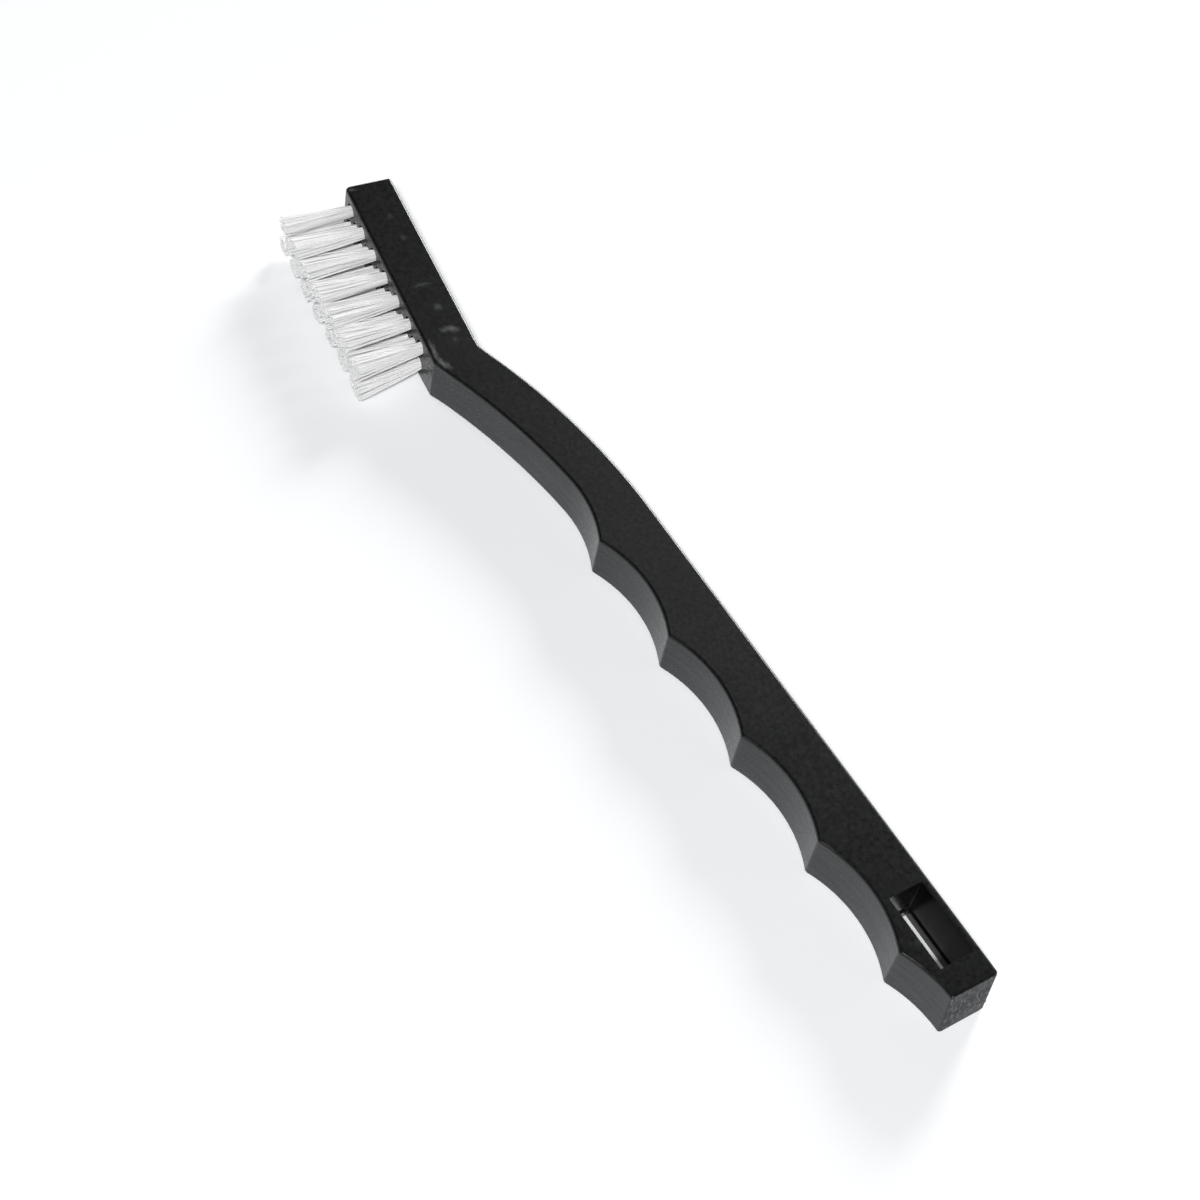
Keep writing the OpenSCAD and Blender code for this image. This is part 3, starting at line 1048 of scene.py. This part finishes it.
# The next three tables work out every point of the bristles from its index. A row of the first and the
# last one names a value, and gives the operation and its two terms: numbers, inputs or earlier values.
COUNTS = (
    ("places", "MULTIPLY", "Tufts in an outer row", 3.0),
    ("tufts", "SUBTRACT", "places", 1.0),
    ("strands", "MULTIPLY", "tufts", "Filaments in a tuft"),
    ("points", "MULTIPLY", "strands", "Points along a filament"),
    ("middle of index", "ADD", "index", 0.5),
    ("strand with part", "DIVIDE", "middle of index", "Points along a filament"),
    ("strand", "FLOOR", "strand with part", 0.0),
    ("points before", "MULTIPLY", "strand", "Points along a filament"),
    ("step", "SUBTRACT", "index", "points before"),
    ("steps", "SUBTRACT", "Points along a filament", 1.0),
    ("along", "DIVIDE", "step", "steps"),
    ("middle of strand", "ADD", "strand", 0.5),
    ("tuft with part", "DIVIDE", "middle of strand", "Filaments in a tuft"),
    ("tuft", "FLOOR", "tuft with part", 0.0),
    ("strands before", "MULTIPLY", "tuft", "Filaments in a tuft"),
    ("number", "SUBTRACT", "strand", "strands before"),
    # The first tufts are the near row, with side 1, the next the far row, with side -1, and the rest
    # the middle row, with side 0, whose tufts stand half a pitch further on.
    ("near row's end", "SUBTRACT", "Tufts in an outer row", 0.5),
    ("not near", "GREATER_THAN", "tuft", "near row's end"),
    ("outer tufts", "MULTIPLY", "Tufts in an outer row", 2.0),
    ("far row's end", "SUBTRACT", "outer tufts", 0.5),
    ("middle", "GREATER_THAN", "tuft", "far row's end"),
    ("twice not near", "MULTIPLY", "not near", 2.0),
    ("outer side", "SUBTRACT", 1.0, "twice not near"),
    ("side", "ADD", "outer side", "middle"),
    ("rows before", "ADD", "not near", "middle"),
    ("tufts before", "MULTIPLY", "Tufts in an outer row", "rows before"),
    ("whole place", "SUBTRACT", "tuft", "tufts before"),
    ("half place", "MULTIPLY", "middle", 0.5),
    ("place", "ADD", "whole place", "half place"),
)
# A random value's name, its limits, what has one of its own, and what is added to the seed.
CHANCES = (
    ("turn of the tuft", 0.0, 6.283, "tuft", 1.0),
    ("stray u", -1.0, 1.0, "strand", 2.0),
    ("stray v", -1.0, 1.0, "strand", 3.0),
    ("bend", -0.5 * MM, 0.5 * MM, "strand", 4.0),
    ("short by", 0.0, 0.25 * MM, "strand", 5.0),
)
PLACES = (
    # Sunflower pattern of radius 1, turned a different way in each tuft.
    ("golden turns", "MULTIPLY", "number", math.pi * (3 - math.sqrt(5))),
    ("angle", "ADD", "golden turns", "turn of the tuft"),
    ("middle of number", "ADD", "number", 0.5),
    ("area", "DIVIDE", "middle of number", "Filaments in a tuft"),
    ("radius", "SQRT", "area", 0.0),
    ("cosine", "COSINE", "angle", 0.0),
    ("sine", "SINE", "angle", 0.0),
    ("u", "MULTIPLY", "radius", "cosine"),
    ("v", "MULTIPLY", "radius", "sine"),
    # At the trimmed end every filament strays a little, and a few stray far.
    ("stray u squared", "MULTIPLY", "stray u", "stray u"),
    ("stray u cubed", "MULTIPLY", "stray u squared", "stray u"),
    ("far stray u", "MULTIPLY", "stray u cubed", 0.24),
    ("near stray u", "MULTIPLY", "stray u", 0.05),
    ("off u", "ADD", "far stray u", "near stray u"),
    ("tip u", "ADD", "u", "off u"),
    ("stray v squared", "MULTIPLY", "stray v", "stray v"),
    ("stray v cubed", "MULTIPLY", "stray v squared", "stray v"),
    ("far stray v", "MULTIPLY", "stray v cubed", 0.24),
    ("near stray v", "MULTIPLY", "stray v", 0.05),
    ("off v", "ADD", "far stray v", "near stray v"),
    ("tip v", "ADD", "v", "off v"),
    # The tufts lean towards the neck, the last one most, and the last one of the far row flares.
    ("last place", "SUBTRACT", "Tufts in an outer row", 1.0),
    ("along the row", "DIVIDE", "place", "last place"),
    ("last", "POWER", "along the row", 4.0),
    ("last far", "MULTIPLY", "last", "not near"),
    ("more", "MULTIPLY", "last far", 0.3),
    ("flare", "ADD", 1.0, "more"),
    ("last lean", "MULTIPLY", "last", 1.3),
    ("lean share", "ADD", 0.7, "last lean"),
    ("lean", "MULTIPLY", "Lean towards the neck", "lean share"),
    ("reach u", "SUBTRACT", "Tip half length", "Filament diameter"),
    ("spread u", "MULTIPLY", "tip u", "reach u"),
    ("flared u", "MULTIPLY", "spread u", "flare"),
    ("tip x", "ADD", "flared u", "lean"),
    # The outer rows lean outwards.
    ("far lean", "MULTIPLY", "not near", "Far row lean"),
    ("near", "SUBTRACT", 1.0, "not near"),
    ("near lean", "MULTIPLY", "near", "Near row lean"),
    ("row lean", "ADD", "far lean", "near lean"),
    ("out by", "MULTIPLY", "side", "row lean"),
    ("reach v", "SUBTRACT", "Tip half width", "Filament diameter"),
    ("spread v", "MULTIPLY", "tip v", "reach v"),
    ("tip y", "ADD", "spread v", "out by"),
    # Each filament opens out from its root to its tip, and bows a little between them.
    ("root x", "MULTIPLY", "u", "Root radius"),
    ("root y", "MULTIPLY", "v", "Root radius"),
    ("opening", "POWER", "along", 0.92),
    ("tip from root x", "SUBTRACT", "tip x", "root x"),
    ("opened x", "MULTIPLY", "tip from root x", "opening"),
    ("straight x", "ADD", "root x", "opened x"),
    ("tip from root y", "SUBTRACT", "tip y", "root y"),
    ("opened y", "MULTIPLY", "tip from root y", "opening"),
    ("straight y", "ADD", "root y", "opened y"),
    ("left over", "SUBTRACT", 1.0, "along"),
    ("between", "MULTIPLY", "along", "left over"),
    ("bow", "MULTIPLY", "between", "bend"),
    ("bowed x", "ADD", "straight x", "bow"),
    ("tuft x", "MULTIPLY", "place", "Tuft pitch"),
    ("x", "ADD", "bowed x", "tuft x"),
    ("row y", "MULTIPLY", "side", "Row pitch"),
    ("y", "ADD", "straight y", "row y"),
    ("trim", "ADD", "Trim length", "taller by"),
    ("cut", "SUBTRACT", "trim", "short by"),
    ("whole length", "ADD", "cut", "Root depth"),
    ("from root", "MULTIPLY", "whole length", "along"),
    ("z", "SUBTRACT", "from root", "Root depth"),
)


def bristle_tree(material):
    """Geometry nodes that make every filament of the three rows from a few sizes."""
    tree = bpy.data.node_groups.new("Three rows of tufts", "GeometryNodeTree")
    tree.interface.new_socket("Geometry", in_out="OUTPUT", socket_type="NodeSocketGeometry")
    for name, kind in BRISTLE_INPUTS:
        tree.interface.new_socket(name, in_out="INPUT", socket_type=kind)
    value = {socket.name: socket for socket in add(tree, "NodeGroupInput").outputs}
    value["index"] = add(tree, "GeometryNodeInputIndex").outputs[0]
    for name, operation, a, b in COUNTS:
        terms = {0: value.get(a, a), 1: value.get(b, b)}
        value[name] = add(tree, "ShaderNodeMath", terms, operation=operation).outputs[0]
    for name, low, high, owner, offset in CHANCES:
        inputs = {0: value["Seed"], 1: offset}
        seed = add(tree, "ShaderNodeMath", inputs, operation="ADD").outputs[0]
        inputs = {2: low, 3: high, "ID": value[owner], "Seed": seed}
        chance = add(tree, "FunctionNodeRandomValue", inputs, data_type="FLOAT")
        value[name] = chance.outputs[1]
    # The tufts at the front stand a little taller.
    value["taller by"] = add(
        tree,
        "ShaderNodeMapRange",
        {
            "Value": value["place"],
            "From Min": 2.6,
            "From Max": 4.2,
            "To Min": 0.55 * MM,
            "To Max": 0.0,
        },
    ).outputs["Result"]
    for name, operation, a, b in PLACES:
        terms = {0: value.get(a, a), 1: value.get(b, b)}
        value[name] = add(tree, "ShaderNodeMath", terms, operation=operation).outputs[0]

    local = add(tree, "ShaderNodeCombineXYZ", {0: value["x"], 1: value["y"], 2: value["z"]})
    inputs = {"Count": value["points"], "Position": local.outputs[0]}
    points = add(tree, "GeometryNodePoints", inputs).outputs[0]
    inputs = {"Points": points, "Curve Group ID": value["strand"]}
    curves = add(tree, "GeometryNodePointsToCurves", inputs).outputs[0]
    inputs = {0: value["Filament diameter"], 1: 0.5}
    radius = add(tree, "ShaderNodeMath", inputs, operation="MULTIPLY").outputs[0]
    inputs = {"Resolution": 6, "Radius": radius}
    ring = add(tree, "GeometryNodeCurvePrimitiveCircle", inputs, mode="RADIUS").outputs[0]
    inputs = {"Curve": curves, "Profile Curve": ring, "Fill Caps": True}
    tubes = add(tree, "GeometryNodeCurveToMesh", inputs).outputs[0]
    inputs = {0: value["Head tilt"], 1: -1.0}
    tilt = add(tree, "ShaderNodeMath", inputs, operation="MULTIPLY").outputs[0]
    turn = add(tree, "ShaderNodeCombineXYZ", {0: math.pi / 2, 1: 0.0, 2: tilt}).outputs[0]
    inputs = {"Geometry": tubes, "Translation": value["First tuft"], "Rotation": turn}
    placed = add(tree, "GeometryNodeTransform", inputs).outputs[0]
    smooth = add(tree, "GeometryNodeSetShadeSmooth", {"Geometry": placed}).outputs[0]
    real = add(tree, "GeometryNodeRealizeInstances", {"Geometry": smooth}).outputs[0]
    painted = add(tree, "GeometryNodeSetMaterial", {"Geometry": real, "Material": material})
    add(tree, "NodeGroupOutput", {"Geometry": painted.outputs[0]})
    return tree


# ---------------------------------------------------------------- studio


# Half the width of the floor, in mm, and the lamps' distance, in metres.
FLOOR_HALF = 1500
LAMP_AWAY = 1.5


def studio_world(fill):
    """White behind the brush, and for its light a dim room that is a little brighter overhead."""
    world = bpy.data.worlds.new("studio")
    world.use_nodes = True
    tree = world.node_tree
    tree.nodes.clear()
    path = add(tree, "ShaderNodeLightPath").outputs
    way = add(tree, "ShaderNodeTexCoord").outputs["Generated"]
    height = add(tree, "ShaderNodeSeparateXYZ", {"Vector": way}).outputs["Z"]
    # Reflections show the white backdrop up to about 10 degrees above the floor, and the room over it.
    backdrop = add(
        tree,
        "ShaderNodeMapRange",
        {"Value": height, "From Min": 0.12, "From Max": 0.2, "To Min": 1.0, "To Max": 0.0},
    )
    inputs = {0: path["Is Glossy Ray"], 1: backdrop.outputs["Result"]}
    shown = add(tree, "ShaderNodeMath", inputs, operation="MULTIPLY").outputs[0]
    inputs = {0: path["Is Camera Ray"], 1: shown}
    seen = add(tree, "ShaderNodeMath", inputs, operation="MAXIMUM").outputs[0]
    inputs = {0: seen, 1: path["Is Transmission Ray"]}
    seen = add(tree, "ShaderNodeMath", inputs, operation="MAXIMUM").outputs[0]
    strength = add(
        tree,
        "ShaderNodeMapRange",
        {"Value": height, "From Min": 0.1, "From Max": 1.0, "To Min": 0.02, "To Max": fill},
    )
    inputs = {"Color": WHITE, "Strength": strength.outputs["Result"]}
    room = add(tree, "ShaderNodeBackground", inputs).outputs[0]
    white = add(tree, "ShaderNodeBackground", {"Color": WHITE, "Strength": 1.0}).outputs[0]
    mix = add(tree, "ShaderNodeMixShader", {0: seen, 1: room, 2: white}).outputs[0]
    add(tree, "ShaderNodeOutputWorld", {"Surface": mix})
    return world


def studio_camera(s):
    """Camera that stands and points as the photograph's did."""
    right, up = Vector(s.right).normalized(), Vector(s.up)
    up = (up - right * up.dot(right)).normalized()
    turn = Matrix((right, up, right.cross(up))).transposed().to_4x4()
    data = bpy.data.cameras.new("camera")
    data.lens = s.lens
    data.sensor_width = 36.0
    data.clip_start = 0.01
    data.clip_end = 20.0
    camera = bpy.data.objects.new("camera", data)
    camera.matrix_world = Matrix.Translation(Vector(s.place)) @ turn
    return camera


def studio_lamp(name, power, size, way):
    """Round lamp in a direction from the brush, turned towards it."""
    light = bpy.data.lights.new(name, "AREA")
    light.shape = "DISK"
    light.size = size
    light.energy = power
    lamp = bpy.data.objects.new(name, light)
    way = Vector(way).normalized()
    turn = way.to_track_quat("Z", "Y").to_matrix().to_4x4()
    lamp.matrix_world = Matrix.Translation(way * LAMP_AWAY) @ turn
    return lamp


# ---------------------------------------------------------------- operators


# Edges of the handle that turn by more than this, in degrees, stay sharp.
SHARP_ANGLE = 38


def handle_origin():
    """The back corner of the hanging end, in mm, from the solid that the handle stands for."""
    low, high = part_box("handle")
    return Vector((high.x, high.y, low.z)) / MM


def finish_faces(piece, shape, at):
    """Gives each face of the handle its finish: 0 moulded, 1 polished and darkened as painted shade in
    the hanging hole, 2 torn with pale streaks that are partly a painted reflection.
    """
    h = shape.h
    near, flat, end_depth, end_facing = 0.01, 0.99, 0.3, 0.8
    low = at + Vector((-h.hole_end_gap - h.hole_l, -h.hole_back_wall - h.hole_h, 0))
    high = at + Vector((-h.hole_end_gap, -h.hole_back_wall, 0))
    for face in piece.data.polygons:
        c, n = face.center / MM, face.normal
        in_hole = low.x - near < c.x < high.x + near and low.y - near < c.y < high.y + near
        # The hole's walls get the darker plastic: painted shade.
        if in_hole and abs(n.z) < flat:
            face.material_index = 1
        # The end face gets the paler plastic: torn fibres and partly a painted reflection.
        elif c.x > at.x - h.end_lean - end_depth and n.x > end_facing:
            face.material_index = 2


class BRUSH_OT_handle(bpy.types.Operator):
    """Makes the moulded handle with its rounded edges, hanging hole and tuft holes"""

    bl_idname = "brush.handle"
    bl_label = "Handle"

    def execute(self, context):
        h, b = context.scene.brush_handle, context.scene.brush_bristles
        shape = HandleShape(h)
        at = handle_origin()
        handle = object_from("moulded_handle", *moved(handle_body(shape), at))
        gate = object_from("gate", *moved(torn_gate(shape), at))
        cutter = object_from("hole_cutter", *moved(handle_cutters(shape, b), at))
        for piece in (handle, gate, cutter):
            outward(piece.data)
        for name, operation, other in (("Gate", "UNION", gate), ("Holes", "DIFFERENCE", cutter)):
            join = handle.modifiers.new(name, "BOOLEAN")
            join.operation = operation
            join.solver = "EXACT"
            join.object = other
            count = len(handle.data.polygons)
            as_plain_mesh(handle)
            bpy.data.objects.remove(other)
            if len(handle.data.polygons) <= count:
                raise RuntimeError("the handle was not joined with: " + name)
        handle.data.polygons.foreach_set("use_smooth", [True] * len(handle.data.polygons))
        handle.data.set_sharp_from_angle(angle=math.radians(SHARP_ANGLE))
        weigh = handle.modifiers.new("Normals", "WEIGHTED_NORMAL")
        weigh.keep_sharp = True
        weigh.weight = 60
        as_plain_mesh(handle)
        moulded = moulded_polypropylene(shape, b, at)
        dress(handle, moulded, polished_polypropylene_with_painted_shade(), torn_polypropylene_with_painted_reflection())
        finish_faces(handle, shape, at)
        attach(handle, "root")
        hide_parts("handle")
        return {"FINISHED"}


class BRUSH_OT_bristles(bpy.types.Operator):
    """Makes the filaments of the three rows of tufts"""

    bl_idname = "brush.bristles"
    bl_label = "Bristles"

    def execute(self, context):
        scene = context.scene
        h, b = scene.brush_handle, scene.brush_bristles
        shape = HandleShape(h)
        at = handle_origin()
        material = nylon_filament(b)
        tree = bristle_tree(material)
        holder = bpy.data.objects.new("nylon_tufts", bpy.data.meshes.new("nylon_tufts"))
        scene.collection.objects.link(holder)
        nodes = holder.modifiers.new("Bristles", "NODES")
        nodes.node_group = tree
        first = shape.head(h.head_l - b.first_tuft, h.head_h)
        first = tuple((a + c) * MM for a, c in zip((first.x, first.y, shape.mid), at))
        values = {
            "Tufts in an outer row": b.row_tufts,
            "Filaments in a tuft": b.filaments,
            "Points along a filament": b.filament_points,
            "Filament diameter": b.filament_d * MM,
            "Trim length": b.trim_l * MM,
            "Root depth": b.root_depth * MM,
            "Root radius": b.root_r * MM,
            "Tip half length": b.tip_half_l * MM,
            "Tip half width": b.tip_half_w * MM,
            "Tuft pitch": b.tuft_pitch * MM,
            "Row pitch": b.row_pitch * MM,
            "Near row lean": b.near_lean * MM,
            "Far row lean": b.far_lean * MM,
            "Lean towards the neck": b.neck_lean * MM,
            "First tuft": first,
            "Head tilt": h.head_tilt,
            "Seed": b.seed,
        }
        for item in tree.interface.items_tree:
            if item.in_out == "INPUT":
                nodes[item.identifier] = values[item.name]
        as_plain_mesh(holder)
        if len(holder.data.polygons) < b.filaments * b.row_tufts:
            raise RuntimeError("the bristles came out empty")
        dress(holder, material)
        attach(holder, "root")
        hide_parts(*[n for n in sorted(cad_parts) if n.startswith("tuft_")])
        return {"FINISHED"}


class BRUSH_OT_anchors(bpy.types.Operator):
    """Finishes the flat metal anchors that hold the tufts"""

    bl_idname = "brush.anchors"
    bl_label = "Anchors"

    def execute(self, context):
        material = rolled_nickel_silver(context.scene.brush_bristles)
        anchors = [piece for name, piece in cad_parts.items() if name.startswith("anchor_")]
        if not anchors:
            raise RuntimeError("the frame has no anchors")
        for piece in anchors:
            dress(piece, material)
        return {"FINISHED"}


class BRUSH_OT_stage(bpy.types.Operator):
    """Sets up the floor, the lights and the camera"""

    bl_idname = "brush.stage"
    bl_label = "Stage"

    def execute(self, context):
        scene = context.scene
        s = scene.brush_studio
        corners = [(x * FLOOR_HALF, y * FLOOR_HALF, 0) for x, y in ((-1, -1), (1, -1), (1, 1), (-1, 1))]
        floor = object_from("floor", corners, [(0, 1, 2, 3)])
        dress(floor, matt_white_paper(s.floor))
        scene.world = studio_world(s.fill)
        scene.camera = studio_camera(s)
        scene.collection.objects.link(scene.camera)
        for lamp in (
            # Low behind the back, so that the shadow falls on the bristle side.
            studio_lamp("key", s.key, 0.5, (-0.50, 0.80, 0.33)),
            # Behind the camera, where its own shadow hides behind the brush.
            studio_lamp("front", s.front, 0.25, (0.45, -0.41, 0.79)),
            # Where the side face mirrors the camera.
            studio_lamp("sheen", s.sheen, 0.4, (-0.46, 0.41, 0.79)),
        ):
            scene.collection.objects.link(lamp)
        scene.view_settings.view_transform = "Standard"
        return {"FINISHED"}


class BRUSH_PT_panel(bpy.types.Panel):
    """Lists the steps that build the brush"""

    bl_label = "Crevice brush"
    bl_idname = "BRUSH_PT_panel"
    bl_space_type = "VIEW_3D"
    bl_region_type = "UI"
    bl_category = "Brush"

    def draw(self, context):
        for kind in STEPS:
            self.layout.operator(kind.bl_idname)
        scene = context.scene
        for group in (scene.brush_handle, scene.brush_bristles, scene.brush_studio):
            box = self.layout.box()
            for name in group.__annotations__:
                box.prop(group, name)


STEPS = (BRUSH_OT_stage, BRUSH_OT_handle, BRUSH_OT_bristles, BRUSH_OT_anchors)
GROUPS = (HandleSettings, BristleSettings, StudioSettings)


def register():
    for kind in GROUPS + STEPS + (BRUSH_PT_panel,):
        bpy.utils.register_class(kind)
    bpy.types.Scene.brush_handle = bpy.props.PointerProperty(type=HandleSettings)
    bpy.types.Scene.brush_bristles = bpy.props.PointerProperty(type=BristleSettings)
    bpy.types.Scene.brush_studio = bpy.props.PointerProperty(type=StudioSettings)


def unregister():
    del bpy.types.Scene.brush_handle
    del bpy.types.Scene.brush_bristles
    del bpy.types.Scene.brush_studio
    for kind in reversed(GROUPS + STEPS + (BRUSH_PT_panel,)):
        bpy.utils.unregister_class(kind)


def main():
    register()
    bpy.ops.brush.stage()
    bpy.ops.brush.handle()
    bpy.ops.brush.bristles()
    bpy.ops.brush.anchors()


if __name__ == "__main__":
    main()
